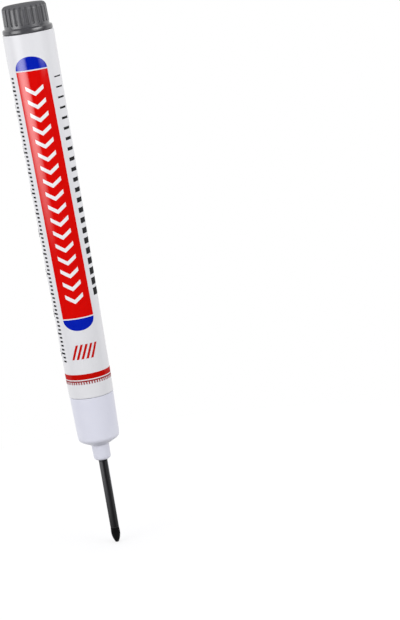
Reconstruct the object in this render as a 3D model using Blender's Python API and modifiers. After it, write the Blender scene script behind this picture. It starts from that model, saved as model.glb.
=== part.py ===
"""A marker pen with a long nib, for marking through deep holes, as the pieces that it comes apart into.

Units are metres. The pen stands nib down: the origin is its writing point, and +Z runs up to its tail.
Every turned piece is an outline of (radius, height, fillet) corners, spun about that axis.
"""

import math

import bmesh
import bpy
from mathutils import Matrix, Vector

# Clearances
SEAT_GAP = 0.0001  # between faces that rest on each other
FIT_GAP = 0.00005  # round a piece that is pushed into another
SCREW_GAP = 0.00015  # round the plug's thread

# Nib: a fibre rod with a bullet head
NIB_HEAD_LENGTH = 0.0038
NIB_HEAD_RADIUS = 0.00112
NIB_WIDEST_HEIGHT = 0.0027  # of the head's widest place above the point
NIB_POINT_RADIUS = 0.0005
NIB_NECKING = 0.00006  # how far the head draws in again at the sleeve
NIB_ROD_RADIUS = 0.00075
NIB_REACH = 0.0092  # of the rod's rear end into the reservoir

# Sleeve: the stiff tube round the nib
SLEEVE_EXPOSED = 0.0177
SLEEVE_WALL = 0.0003
SLEEVE_DRAFT = 0.00004
SLEEVE_FLANGE_WIDTH = 0.0011
SLEEVE_FLANGE_THICKNESS = 0.0008

# Front collar
NECK_LENGTH = 0.0039
NECK_WALL = 0.00095
NECK_DRAFT = 0.0001
NECK_ROUNDING = 0.0009
NECK_ROOT_ROUNDING = 0.0003
SHOULDER_HEIGHT = 0.0025
SHOULDER_ROUNDING = 0.0012
SHOULDER_LIP = 0.0009  # straight rise at the shoulder's outer edge
COLLAR_LENGTH = 0.0104
COLLAR_STEP = 0.00008  # from the barrel's edge in to the collar
COLLAR_DRAFT = 0.00028
COLLAR_FLOOR = 0.0049  # from the neck's front end to the sleeve's seat
COLLAR_SPIGOT_LENGTH = 0.0080
COLLAR_SPIGOT_WALL = 0.0009
COLLAR_SPIGOT_LEAD_IN = 0.0003
COLLAR_EDGE_ROUNDING = 0.00015

# Retainer: the bush behind the sleeve's flange
RETAINER_LENGTH = 0.0054
RETAINER_HEAD_THICKNESS = 0.0010

# Barrel
BARREL_LENGTH = 0.0897
BARREL_FRONT_RADIUS = 0.0055
BARREL_TAIL_RADIUS = 0.00623
BARREL_FRONT_WALL = 0.0009
BARREL_TAIL_WALL = 0.00103
BARREL_EDGE_ROUNDING = 0.00015
BARREL_RIB_COUNT = 6
BARREL_RIB_HEIGHT = 0.0005  # at the front, where the bore is narrowest
BARREL_RIB_WIDTH = 0.0008
BARREL_RIB_ROOT = 0.0002  # sunk into the wall

# Reservoir
FILM_THICKNESS = 0.00015

# Tail plug
FLANGE_THICKNESS = 0.0012
FLANGE_INSET = 0.00005  # from the barrel's edge in to the flange
FLANGE_DRAFT = 0.00018
FLANGE_ROUNDING = 0.00035
KNOB_HEIGHT = 0.0055
KNOB_LEDGE = 0.00072  # from the flange's edge in to the knob
KNOB_DRAFT = 0.0001
KNOB_ROUNDING = 0.0011
KNOB_TOP_WALL = 0.0016
GRIP_GROOVE_COUNT = 24
GRIP_GROOVE_RADIUS = 0.0004
GRIP_GROOVE_LOW = 0.0009  # of the grooves' lower ends above the flange
GRIP_GROOVE_HIGH = 0.0008  # of their upper ends below the knob's top
GRIP_GROOVE_SHIFT = 0.25  # of the first groove from the +X side, in groove spacings
PLUG_SPIGOT_LENGTH = 0.0064
PLUG_SPIGOT_LEAD_IN = 0.00025
PLUG_SKIRT_LENGTH = 0.0062
PLUG_SKIRT_WALL = 0.0007
SEAL_CORD_RADIUS = 0.0004
SEAL_SHOULDER = 0.0003  # from the spigot in to the neck that holds the seal ring
THREAD_PITCH = 0.0020
THREAD_CORD_RADIUS = 0.0005
THREAD_SINK = 0.0001  # of the thread's middle under the spigot's surface
THREAD_TURNS = 1.25
THREAD_RUN_IN = 0.2  # turns of groove below the closed thread

# Fineness of the round shapes
WIDE_STEPS = 48
NARROW_STEPS = 24
FILLET_STEPS = 3
FILLET_SHARE = 0.9  # the most of a side that one fillet takes up
NIB_HEAD_STEPS = 6
GRIP_GROOVE_SIDES = 8
GRIP_GROOVE_RINGS = 5
SEAL_CORD_STEPS = 10
THREAD_POINTS_PER_TURN = 24
THREAD_BEVEL_STEPS = 2
SHARP_ANGLE = math.radians(32)
WELD_DISTANCE = 0.000001  # points closer than this become one

# Heights of the pieces above the writing point, from the nib upwards
SLEEVE_FRONT = NIB_HEAD_LENGTH + SEAT_GAP
NECK_FRONT = SLEEVE_FRONT + SLEEVE_EXPOSED
SLEEVE_SEAT = NECK_FRONT + COLLAR_FLOOR
RETAINER_FRONT = SLEEVE_SEAT + SEAT_GAP + SLEEVE_FLANGE_THICKNESS + SEAT_GAP
COLLAR_REAR = NECK_FRONT + NECK_LENGTH + SHOULDER_HEIGHT + COLLAR_LENGTH
BARREL_FRONT = COLLAR_REAR + SEAT_GAP
SPIGOT_REAR = COLLAR_REAR + COLLAR_SPIGOT_LENGTH
BARREL_TAIL = BARREL_FRONT + BARREL_LENGTH
FLANGE_SEAT = BARREL_TAIL + SEAT_GAP
SEAL_NECK_LENGTH = 2 * SEAL_CORD_RADIUS + 4 * SEAT_GAP
SKIRT_END = FLANGE_SEAT - SEAL_NECK_LENGTH - PLUG_SPIGOT_LENGTH - PLUG_SKIRT_LENGTH
RESERVOIR_FRONT = SPIGOT_REAR + SEAT_GAP
RESERVOIR_REAR = SKIRT_END - SEAT_GAP

# Radii that follow from the fits
SLEEVE_BORE = NIB_ROD_RADIUS + FIT_GAP
SLEEVE_RADIUS = SLEEVE_BORE + SLEEVE_WALL
SLEEVE_FLANGE_RADIUS = SLEEVE_RADIUS + SLEEVE_FLANGE_WIDTH
RETAINER_RADIUS = SLEEVE_FLANGE_RADIUS + FIT_GAP
FRONT_BORE = BARREL_FRONT_RADIUS - BARREL_FRONT_WALL
TAIL_BORE = BARREL_TAIL_RADIUS - BARREL_TAIL_WALL
COLLAR_SPIGOT_RADIUS = FRONT_BORE - FIT_GAP
COLLAR_CAVITY = COLLAR_SPIGOT_RADIUS - COLLAR_SPIGOT_WALL
FILM_RADIUS = FRONT_BORE - BARREL_RIB_HEIGHT - FIT_GAP
CORE_RADIUS = FILM_RADIUS - FILM_THICKNESS - FIT_GAP
PLUG_SPIGOT_RADIUS = TAIL_BORE - SCREW_GAP
PLUG_BORE = FILM_RADIUS - PLUG_SKIRT_WALL
SEAL_NECK_RADIUS = PLUG_SPIGOT_RADIUS - SEAL_SHOULDER
SEAL_RING_RADIUS = SEAL_NECK_RADIUS + FIT_GAP + SEAL_CORD_RADIUS
SEAL_SEAT_RADIUS = SEAL_RING_RADIUS + SEAL_CORD_RADIUS + FIT_GAP
FLANGE_RADIUS = BARREL_TAIL_RADIUS - FLANGE_INSET
KNOB_RADIUS = FLANGE_RADIUS - KNOB_LEDGE
THREAD_HELIX_RADIUS = PLUG_SPIGOT_RADIUS - THREAD_SINK

# The thread's start, measured from the flange's underside
THREAD_START = -SEAL_NECK_LENGTH - PLUG_SPIGOT_LENGTH + 2 * THREAD_CORD_RADIUS


def clear_scene():
    for old in list(bpy.data.objects):
        bpy.data.objects.remove(old, do_unlink=True)


def new_collection(name, hidden=False):
    collection = bpy.data.collections.new(name)
    collection.hide_render = hidden
    bpy.context.scene.collection.children.link(collection)
    return collection


def linear(channel):
    """One sRGB channel, from 0 to 255, as the linear value that a shader takes."""
    share = channel / 255
    return share / 12.92 if share <= 0.04045 else ((share + 0.055) / 1.055) ** 2.4


def new_material(name, red, green, blue, roughness):
    material = bpy.data.materials.new(name)
    material.use_nodes = True
    shader = material.node_tree.nodes["Principled BSDF"]
    shader.inputs["Base Color"].default_value = (linear(red), linear(green), linear(blue), 1)
    shader.inputs["Roughness"].default_value = roughness
    shader.inputs["Metallic"].default_value = 0
    return material


def fillet_of(corner):
    return corner[2] if len(corner) == 3 else 0


def free_side(corner, neighbour):
    """How much of the side between two corners the first corner's fillet may take up."""
    length = math.dist(corner[:2], neighbour[:2])
    return FILLET_SHARE * length / (2 if fillet_of(neighbour) else 1)


def arc_points(before, corner, after, fillet, room):
    """The points of an arc that rounds one corner and takes up at most that room on its sides."""
    to_before = (before - corner).normalized()
    to_after = (after - corner).normalized()
    half_angle = to_before.angle(to_after) / 2
    reach = min(fillet / math.tan(half_angle), room)
    radius = reach * math.tan(half_angle)
    centre = corner + (to_before + to_after).normalized() * (radius / math.sin(half_angle))
    start = corner + to_before * reach - centre
    end = corner + to_after * reach - centre
    turn = start.angle_signed(end)
    return [
        centre + Matrix.Rotation(-turn * step / FILLET_STEPS, 2) @ start
        for step in range(FILLET_STEPS + 1)
    ]


def rounded(corners):
    """The points of an outline whose corners are (radius, height) or (radius, height, fillet)."""
    places = [Vector(corner[:2]) for corner in corners]
    points = []
    for index, corner in enumerate(corners):
        before = index - 1
        after = (index + 1) % len(corners)
        if not fillet_of(corner):
            points.append(places[index])
            continue
        room = min(free_side(corner, corners[before]), free_side(corner, corners[after]))
        points.extend(
            arc_points(places[before], places[index], places[after], fillet_of(corner), room)
        )
    return points


def turned(name, collection, points, closed, steps, height=0.0):
    """A piece spun from an outline that runs down its outer side, with its own zero at that height."""
    mesh = bpy.data.meshes.new(name)
    vertices = [(point.x, 0, point.y) for point in points]
    edges = [(index, index + 1) for index in range(len(points) - 1)]
    if closed:
        edges.append((len(points) - 1, 0))
    mesh.from_pydata(vertices, edges, [])
    piece = bpy.data.objects.new(name, mesh)
    piece.location.z = height
    collection.objects.link(piece)
    screw = piece.modifiers.new("spin", "SCREW")
    screw.steps = steps
    screw.render_steps = steps
    screw.use_merge_vertices = True
    screw.merge_threshold = WELD_DISTANCE
    return piece


def mesh_object(name, collection, builder, height=0.0):
    """An object whose mesh a bmesh function fills."""
    mesh = bpy.data.meshes.new(name)
    shape = bmesh.new()
    builder(shape)
    bmesh.ops.recalc_face_normals(shape, faces=shape.faces)
    shape.to_mesh(mesh)
    shape.free()
    made = bpy.data.objects.new(name, mesh)
    made.location.z = height
    collection.objects.link(made)
    return made


def combine(piece, operation, other):
    """Joins the other object to the piece or cuts it out, and keeps it only as a wire guide."""
    boolean = piece.modifiers.new(other.name, "BOOLEAN")
    boolean.operation = operation
    boolean.solver = "EXACT"
    boolean.object = other
    other.hide_render = True
    other.display_type = "WIRE"


def thread_cord(name, collection, first_turn, last_turn, cord_radius):
    """A round cord on the plug's right-hand helix, as a closed mesh. Turn 0 is the thread's lower end."""
    curve = bpy.data.curves.new(name, "CURVE")
    curve.dimensions = "3D"
    curve.bevel_depth = cord_radius
    curve.bevel_resolution = THREAD_BEVEL_STEPS
    curve.use_fill_caps = True
    steps = math.ceil((last_turn - first_turn) * THREAD_POINTS_PER_TURN)
    spline = curve.splines.new("POLY")
    spline.points.add(steps)
    for step, point in enumerate(spline.points):
        turn = first_turn + (last_turn - first_turn) * step / steps
        angle = 2 * math.pi * turn
        x = THREAD_HELIX_RADIUS * math.cos(angle)
        y = THREAD_HELIX_RADIUS * math.sin(angle)
        point.co = (x, y, THREAD_START + THREAD_PITCH * turn, 1)
    guide = bpy.data.objects.new(name + "_path", curve)
    collection.objects.link(guide)
    solid = bpy.data.meshes.new_from_object(guide.evaluated_get(bpy.context.evaluated_depsgraph_get()))
    bpy.data.objects.remove(guide, do_unlink=True)

    def weld(shape):
        shape.from_mesh(solid)
        bmesh.ops.remove_doubles(shape, verts=shape.verts, dist=WELD_DISTANCE)

    return mesh_object(name, collection, weld, FLANGE_SEAT)


def make_nib(parts):
    """Bullet head, a shoulder that stops on the sleeve, and a rod that runs back into the reservoir."""
    rear = RESERVOIR_FRONT + NIB_REACH
    neck = NIB_HEAD_RADIUS - NIB_NECKING
    flank = NIB_WIDEST_HEIGHT - NIB_POINT_RADIUS / 2
    points = [Vector((0, rear)), Vector((NIB_ROD_RADIUS / 2, rear))]
    points.append(Vector((NIB_ROD_RADIUS, rear - NIB_ROD_RADIUS)))
    points.append(Vector((NIB_ROD_RADIUS, NIB_HEAD_LENGTH)))
    points.append(Vector((neck, NIB_HEAD_LENGTH)))
    for step in range(NIB_HEAD_STEPS + 1):
        share = step / NIB_HEAD_STEPS
        radius = NIB_POINT_RADIUS + (NIB_HEAD_RADIUS - NIB_POINT_RADIUS) * (1 - share**2)
        points.append(Vector((radius, NIB_WIDEST_HEIGHT - flank * share)))
    for step in range(1, FILLET_STEPS + 1):
        angle = math.pi / 2 * step / FILLET_STEPS
        height = NIB_POINT_RADIUS / 2 * (1 - math.sin(angle))
        points.append(Vector((NIB_POINT_RADIUS * math.cos(angle), height)))
    points[-1].x = 0
    return turned("nib", parts, points, False, NARROW_STEPS)


def make_nib_sleeve(parts):
    """Thin drafted tube with a flange at its rear end, which seats on the collar's floor."""
    flange_front = SLEEVE_SEAT + SEAT_GAP - SLEEVE_FRONT
    flange_rear = flange_front + SLEEVE_FLANGE_THICKNESS
    neck = NECK_FRONT - SLEEVE_FRONT
    corners = [
        (SLEEVE_BORE, flange_rear),
        (SLEEVE_FLANGE_RADIUS, flange_rear),
        (SLEEVE_FLANGE_RADIUS, flange_front),
        (SLEEVE_RADIUS, flange_front),
        (SLEEVE_RADIUS, neck),
        (SLEEVE_RADIUS - SLEEVE_DRAFT, 0),
        (SLEEVE_BORE, 0),
    ]
    return turned("nib_sleeve", parts, rounded(corners), True, NARROW_STEPS, SLEEVE_FRONT)


def make_nib_retainer(parts):
    """Top-hat bush that holds the sleeve's flange down. Its head stops on a step in the collar's cavity."""
    head_seat = RETAINER_LENGTH
    head_rear = head_seat + RETAINER_HEAD_THICKNESS
    bore = NIB_ROD_RADIUS + FIT_GAP
    corners = [
        (bore, head_rear),
        (COLLAR_CAVITY - FIT_GAP, head_rear),
        (COLLAR_CAVITY - FIT_GAP, head_seat),
        (RETAINER_RADIUS - FIT_GAP, head_seat),
        (RETAINER_RADIUS - FIT_GAP, 0),
        (bore, 0),
    ]
    return turned("nib_retainer", parts, rounded(corners), True, NARROW_STEPS, RETAINER_FRONT)


def make_front_collar(parts):
    """Drafted nose with a rounded shoulder and neck. Its rear spigot is pushed into the barrel."""
    neck_front_radius = SLEEVE_RADIUS + FIT_GAP + NECK_WALL
    neck_rear_radius = neck_front_radius + NECK_DRAFT
    shoulder_front = NECK_LENGTH
    shoulder_rear = NECK_LENGTH + SHOULDER_HEIGHT
    rear_radius = BARREL_FRONT_RADIUS - COLLAR_STEP
    front_radius = rear_radius - COLLAR_DRAFT
    body_rear = COLLAR_REAR - NECK_FRONT
    spigot_rear = SPIGOT_REAR - NECK_FRONT
    cavity_floor = RETAINER_FRONT + RETAINER_LENGTH - SEAT_GAP - NECK_FRONT
    corners = [
        (COLLAR_CAVITY, spigot_rear),
        (COLLAR_SPIGOT_RADIUS, spigot_rear, COLLAR_SPIGOT_LEAD_IN),
        (COLLAR_SPIGOT_RADIUS, body_rear),
        (rear_radius, body_rear, COLLAR_EDGE_ROUNDING),
        (front_radius, shoulder_rear - SHOULDER_LIP, SHOULDER_ROUNDING),
        (neck_rear_radius, shoulder_front, NECK_ROOT_ROUNDING),
        (neck_front_radius, 0, NECK_ROUNDING),
        (SLEEVE_RADIUS + FIT_GAP, 0),
        (SLEEVE_RADIUS + FIT_GAP, COLLAR_FLOOR),
        (RETAINER_RADIUS, COLLAR_FLOOR),
        (RETAINER_RADIUS, cavity_floor),
        (COLLAR_CAVITY, cavity_floor),
    ]
    return turned("front_collar", parts, rounded(corners), True, WIDE_STEPS, NECK_FRONT)


def make_reservoir(parts):
    """Fibre rod with a hole for the nib's rear end, and the open-ended film round it."""
    length = RESERVOIR_REAR - RESERVOIR_FRONT
    nib_hole = NIB_ROD_RADIUS + FIT_GAP
    core_corners = [
        (0, length),
        (CORE_RADIUS, length),
        (CORE_RADIUS, 0),
        (nib_hole, 0),
        (nib_hole, NIB_REACH + SEAT_GAP),
        (0, NIB_REACH + SEAT_GAP),
    ]
    film_corners = [
        (CORE_RADIUS + FIT_GAP, length),
        (FILM_RADIUS, length),
        (FILM_RADIUS, 0),
        (CORE_RADIUS + FIT_GAP, 0),
    ]
    core = turned("reservoir_core", parts, rounded(core_corners), False, WIDE_STEPS, RESERVOIR_FRONT)
    film = turned("reservoir_film", parts, rounded(film_corners), True, WIDE_STEPS, RESERVOIR_FRONT)
    return core, film


def make_barrel(parts, cutters):
    """Tapered tube with inner ribs for the reservoir, a seal seat and a groove for the plug's thread."""
    spigot_end = SPIGOT_REAR + SEAT_GAP - BARREL_FRONT
    ribs_end = RESERVOIR_REAR - BARREL_FRONT
    seal_floor = FLANGE_SEAT - SEAL_NECK_LENGTH - BARREL_FRONT
    corners = [
        (SEAL_SEAT_RADIUS, BARREL_LENGTH),
        (BARREL_TAIL_RADIUS, BARREL_LENGTH, BARREL_EDGE_ROUNDING),
        (BARREL_FRONT_RADIUS, 0, BARREL_EDGE_ROUNDING),
        (FRONT_BORE, 0),
        (FRONT_BORE, spigot_end),
        (TAIL_BORE, ribs_end),
        (TAIL_BORE, seal_floor),
        (SEAL_SEAT_RADIUS, seal_floor),
    ]
    barrel = turned("barrel", parts, rounded(corners), True, WIDE_STEPS, BARREL_FRONT)

    def fill_ribs(shape):
        """Each rib is a thin plate whose outer edge follows the tapered bore, just inside the wall."""
        inner = FILM_RADIUS + FIT_GAP
        plate = [
            (inner, spigot_end),
            (FRONT_BORE + BARREL_RIB_ROOT, spigot_end),
            (TAIL_BORE + BARREL_RIB_ROOT, ribs_end),
            (inner, ribs_end),
        ]
        for index in range(BARREL_RIB_COUNT):
            turn = Matrix.Rotation(2 * math.pi * (index + 0.5) / BARREL_RIB_COUNT, 3, "Z")
            near_side = [turn @ Vector((radius, -BARREL_RIB_WIDTH / 2, height)) for radius, height in plate]
            face = shape.faces.new([shape.verts.new(place) for place in near_side])
            grown = bmesh.ops.extrude_face_region(shape, geom=[face])
            far_side = [item for item in grown["geom"] if isinstance(item, bmesh.types.BMVert)]
            bmesh.ops.translate(shape, verts=far_side, vec=turn @ Vector((0, BARREL_RIB_WIDTH, 0)))

    combine(barrel, "UNION", mesh_object("barrel_ribs", cutters, fill_ribs, BARREL_FRONT))
    top_turn = (-SEAL_NECK_LENGTH + 2 * THREAD_CORD_RADIUS - THREAD_START) / THREAD_PITCH
    groove_radius = THREAD_CORD_RADIUS + SCREW_GAP
    groove = thread_cord("barrel_groove", cutters, -THREAD_RUN_IN, top_turn, groove_radius)
    combine(barrel, "DIFFERENCE", groove)
    return barrel


def make_tail_plug(parts, cutters):
    """Grooved knob and flange on a hollow spigot with a thread ridge. Its skirt holds the reservoir."""
    knob_top = FLANGE_THICKNESS + KNOB_HEIGHT
    spigot_end = -SEAL_NECK_LENGTH - PLUG_SPIGOT_LENGTH
    skirt_end = spigot_end - PLUG_SKIRT_LENGTH
    corners = [
        (0, knob_top),
        (KNOB_RADIUS - KNOB_DRAFT, knob_top, KNOB_ROUNDING),
        (KNOB_RADIUS, FLANGE_THICKNESS),
        (FLANGE_RADIUS - FLANGE_DRAFT, FLANGE_THICKNESS, FLANGE_ROUNDING),
        (FLANGE_RADIUS, 0, FLANGE_ROUNDING),
        (SEAL_NECK_RADIUS, 0),
        (SEAL_NECK_RADIUS, -SEAL_NECK_LENGTH),
        (PLUG_SPIGOT_RADIUS, -SEAL_NECK_LENGTH),
        (PLUG_SPIGOT_RADIUS, spigot_end, PLUG_SPIGOT_LEAD_IN),
        (FILM_RADIUS, spigot_end),
        (FILM_RADIUS, skirt_end),
        (PLUG_BORE, skirt_end),
        (PLUG_BORE, knob_top - KNOB_TOP_WALL),
        (0, knob_top - KNOB_TOP_WALL),
    ]
    plug = turned("tail_plug", parts, rounded(corners), False, WIDE_STEPS, FLANGE_SEAT)

    def fill_grooves(shape):
        """Each groove is a capsule: a ball whose upper rings are lifted."""
        low = FLANGE_THICKNESS + GRIP_GROOVE_LOW + GRIP_GROOVE_RADIUS
        rise = knob_top - GRIP_GROOVE_HIGH - GRIP_GROOVE_RADIUS - low
        for index in range(GRIP_GROOVE_COUNT):
            angle = 2 * math.pi * (index + GRIP_GROOVE_SHIFT) / GRIP_GROOVE_COUNT
            ball = bmesh.ops.create_uvsphere(
                shape,
                u_segments=GRIP_GROOVE_SIDES,
                v_segments=GRIP_GROOVE_RINGS,
                radius=GRIP_GROOVE_RADIUS,
                matrix=Matrix.Rotation(angle, 4, "Z") @ Matrix.Translation((KNOB_RADIUS, 0, low)),
            )
            upper = [vertex for vertex in ball["verts"] if vertex.co.z > low]
            bmesh.ops.translate(shape, verts=upper, vec=(0, 0, rise))

    combine(plug, "DIFFERENCE", mesh_object("knob_grooves", cutters, fill_grooves, FLANGE_SEAT))
    ridge = thread_cord("plug_thread", cutters, 0, THREAD_TURNS, THREAD_CORD_RADIUS)
    combine(plug, "UNION", ridge)
    return plug


def make_tail_seal_ring(parts):
    """Rubber ring on the plug's neck, under the flange."""
    bpy.ops.mesh.primitive_torus_add(
        major_radius=SEAL_RING_RADIUS,
        minor_radius=SEAL_CORD_RADIUS,
        major_segments=WIDE_STEPS,
        minor_segments=SEAL_CORD_STEPS,
        location=(0, 0, FLANGE_SEAT - SEAL_NECK_LENGTH / 2),
    )
    ring = bpy.context.object
    ring.name = "tail_seal_ring"
    for collection in list(ring.users_collection):
        collection.objects.unlink(ring)
    parts.objects.link(ring)
    return ring


def settle(piece):
    """Replaces the piece's modifiers by the mesh that they make, smooth except at its sharp edges."""
    evaluated = piece.evaluated_get(bpy.context.evaluated_depsgraph_get())
    mesh = bpy.data.meshes.new_from_object(evaluated)
    piece.modifiers.clear()
    piece.data = mesh
    mesh.name = piece.name
    mesh.shade_smooth()
    mesh.set_sharp_from_angle(angle=SHARP_ANGLE)


def main():
    clear_scene()
    parts = new_collection("long_nib_marker")
    cutters = new_collection("long_nib_marker_cutters", hidden=True)
    core, film = make_reservoir(parts)
    finishes = {
        make_barrel(parts, cutters): new_material("white_polypropylene", 229, 230, 234, 0.3),
        make_front_collar(parts): new_material("lilac_white_polypropylene", 217, 218, 231, 0.4),
        make_nib_sleeve(parts): new_material("dark_grey_acetal", 58, 58, 60, 0.4),
        make_nib(parts): new_material("inked_polyester_fibre", 18, 18, 19, 0.8),
        make_nib_retainer(parts): new_material("natural_polyethylene", 236, 236, 230, 0.5),
        core: new_material("inked_acetate_fibre", 30, 30, 34, 0.9),
        film: new_material("clear_wrap_film", 205, 210, 214, 0.2),
        make_tail_plug(parts, cutters): new_material("dark_grey_polypropylene", 98, 98, 101, 0.4),
        make_tail_seal_ring(parts): new_material("black_nitrile_rubber", 28, 28, 28, 0.6),
    }
    pen = bpy.data.objects.new("pen_axis", None)
    parts.objects.link(pen)
    bpy.context.view_layer.update()
    for piece, finish in finishes.items():
        settle(piece)
        piece.data.materials.clear()
        piece.data.materials.append(finish)
        piece.parent = pen


main()
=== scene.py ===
# %% [markdown]
# # A marker pen with a long nib
# This lesson dresses the CAD model of a marker pen for a studio picture. The pen stands on its nib, and
# its long sleeve lets it mark through a deep hole. The CAD model already has every piece at its real size
# and place, so each step here takes one piece, models it again with a finer surface, and gives it the
# finish of the real plastic, fibre, rubber or printing ink.

# %% Load the CAD model
import math

import bmesh
import bpy
from mathutils import Matrix, Vector


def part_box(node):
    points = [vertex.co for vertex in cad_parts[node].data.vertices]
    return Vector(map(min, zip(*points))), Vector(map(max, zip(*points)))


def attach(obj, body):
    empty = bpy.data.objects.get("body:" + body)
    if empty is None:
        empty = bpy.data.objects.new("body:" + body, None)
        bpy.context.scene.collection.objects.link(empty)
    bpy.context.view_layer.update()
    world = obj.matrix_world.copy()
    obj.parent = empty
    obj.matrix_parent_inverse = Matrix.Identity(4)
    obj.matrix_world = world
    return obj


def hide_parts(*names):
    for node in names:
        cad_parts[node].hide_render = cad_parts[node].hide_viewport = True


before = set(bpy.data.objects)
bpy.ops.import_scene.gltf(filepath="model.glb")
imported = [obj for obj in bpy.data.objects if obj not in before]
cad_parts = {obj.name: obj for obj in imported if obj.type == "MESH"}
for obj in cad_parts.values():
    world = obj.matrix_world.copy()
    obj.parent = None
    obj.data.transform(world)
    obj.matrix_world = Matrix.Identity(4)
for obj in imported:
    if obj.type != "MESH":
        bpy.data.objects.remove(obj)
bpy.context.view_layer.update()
MM = 0.001  # the model is in metres, and the sizes in this file are in millimetres
print("CAD pieces:", ", ".join(sorted(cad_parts)))

# %% [markdown]
# ## The camera
# The picture is a close view with a long lens, and the pen leans in it. The pen itself stays upright
# here, so that its axis is the model's Z axis, and the camera leans instead. The place and the three
# angles come from matching the outline of the pen, and a picture height of 620 pixels turns the focal
# length into a lens.

# %% Place the camera
CAMERA_PLACE = Vector((0, -571, 167.6))
CAMERA_YAW = 2.982
CAMERA_PITCH = -11.207
CAMERA_ROLL = -9.36
FOCAL_LENGTH_PIXELS = 2375.7
PICTURE_HEIGHT_PIXELS = 620
SENSOR_WIDTH = 36
NEAREST_SEEN = 10

scene = bpy.context.scene
scene.view_settings.view_transform = "Standard"
bpy.ops.object.camera_add()
camera = bpy.context.object
camera.data.sensor_width = SENSOR_WIDTH
camera.data.lens = FOCAL_LENGTH_PIXELS * SENSOR_WIDTH / PICTURE_HEIGHT_PIXELS
camera.data.clip_start = NEAREST_SEEN * MM
camera.matrix_world = (
    Matrix.Translation(CAMERA_PLACE * MM)
    @ Matrix.Rotation(math.radians(-CAMERA_YAW), 4, "Z")
    @ Matrix.Rotation(math.radians(90 + CAMERA_PITCH), 4, "X")
    @ Matrix.Rotation(math.radians(CAMERA_ROLL), 4, "Z")
)
scene.camera = camera
print(f"lens of {camera.data.lens:.1f} mm")

# %% [markdown]
# ## Colours and nodes
# Colours are written as the hex values that a painter's program shows. A shader wants them linear, so one
# function converts them. Others set or link the inputs of a node, add a node, and start a material. The
# last lays a noise over a piece, because every real finish is a little uneven. It reads Object
# coordinates, so that the pattern stays on the piece when it moves.

# %% Helpers for materials
SHARE, DEEP, PALE, MIXED = 0, 6, 7, 2  # the inputs of a Mix node for colours, and its output


def linear(hex_colour):
    """The linear colour of an sRGB hex value, with full opacity."""
    shares = [int(hex_colour[place : place + 2], 16) / 255 for place in (1, 3, 5)]
    curved = [share / 12.92 if share <= 0.04045 else ((share + 0.055) / 1.055) ** 2.4 for share in shares]
    return (*curved, 1.0)


def set_inputs(tree, node, inputs):
    """Sets each of these inputs of a node to a value, or links it to another node's output."""
    for name, value in inputs.items():
        if isinstance(value, bpy.types.NodeSocket):
            tree.links.new(value, node.inputs[name])
        else:
            node.inputs[name].default_value = value


def add(tree, kind, inputs, **settings):
    """Adds a node with its inputs and settings."""
    node = tree.nodes.new("ShaderNode" + kind)
    for name, value in settings.items():
        setattr(node, name, value)
    set_inputs(tree, node, inputs)
    return node


def new_material(name):
    """Starts a material and returns it with its node tree and its shader."""
    material = bpy.data.materials.new(name)
    material.use_nodes = True
    return material, material.node_tree, material.node_tree.nodes["Principled BSDF"]


def noise(tree, width, length=None, detail=2.0, shift=(0, 0, 0)):
    """Noise from 0 to 1 with lumps of that width and, along the pen, that length in millimetres."""
    place = add(tree, "TexCoord", {}).outputs["Object"]
    scale = (1 / (width * MM), 1 / (width * MM), 1 / ((length or width) * MM))
    lumps = add(tree, "Mapping", {"Vector": place, "Scale": scale, "Location": shift}).outputs[0]
    return add(tree, "TexNoise", {"Vector": lumps, "Scale": 1.0, "Detail": detail}).outputs["Fac"]


print(f"the middle grey #808080 is {linear('#808080')[0]:.3f} in linear light")

# %% [markdown]
# ## The paper under the pen
# The pen stands on a round sheet of white paper. Paper lit by lamps never quite reaches white, so the
# camera sees it with a little glow of its own. The glow is weakest under the pen, where it leaves the
# soft shadow of the pen to be seen, and it grows outwards, so that the edge of the sheet melts into the
# white around it. The sheet is small: a glossy pen mirrors what lies in front of it, and a large white
# floor would make its print pale.

# %% Lay the paper
PAPER_RADIUS = 120
PAPER_THICKNESS = 0.1
PAPER_SIDES = 96

bpy.ops.mesh.primitive_cylinder_add(
    vertices=PAPER_SIDES,
    radius=PAPER_RADIUS * MM,
    depth=PAPER_THICKNESS * MM,
    location=(0, 0, -PAPER_THICKNESS / 2 * MM),
)
floor = bpy.context.object
floor.name = "paper_floor"
print("paper sheet of", 2 * PAPER_RADIUS, "mm")

# %% Make the paper white
PAPER_GLOW = 0.675
PAPER_EDGE_GLOW = 0.72


def seen_rays(tree):
    """1 for the rays of the camera, of mirrors and of glass, and the same for mirrors alone."""
    rays = add(tree, "LightPath", {}).outputs
    seen = rays["Is Camera Ray"]
    for kind in ("Is Glossy Ray", "Is Transmission Ray"):
        seen = add(tree, "Math", {0: seen, 1: rays[kind]}, operation="MAXIMUM").outputs[0]
    return seen, rays["Is Glossy Ray"]


# Uncoated paper: no gloss at all. It throws no more light on the pen than a grey sheet would, so that the
# underside of the collar keeps its shade
paper, tree, shader = new_material("uncoated_paper")
set_inputs(tree, shader, {"Base Color": linear("#949494"), "Roughness": 1.0, "Specular IOR Level": 0.0})
place = add(tree, "TexCoord", {}).outputs["Object"]
away = add(tree, "VectorMath", {0: place}, operation="LENGTH").outputs["Value"]
brightness = add(
    tree,
    "MapRange",
    {"Value": away, "From Max": PAPER_RADIUS * MM, "To Min": PAPER_GLOW, "To Max": PAPER_EDGE_GLOW},
)
shade = add(tree, "BsdfDiffuse", {"Color": linear("#9c9c9c")})
glow = add(tree, "Emission", {"Color": linear("#ffffff"), "Strength": brightness.outputs["Result"]})
bright = add(tree, "AddShader", {0: shade.outputs[0], 1: glow.outputs[0]})
seen, _ = seen_rays(tree)
both = add(tree, "MixShader", {0: seen, 1: shader.outputs[0], 2: bright.outputs[0]})
set_inputs(tree, tree.nodes["Material Output"], {"Surface": both.outputs[0]})
floor.data.materials.append(paper)
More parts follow.
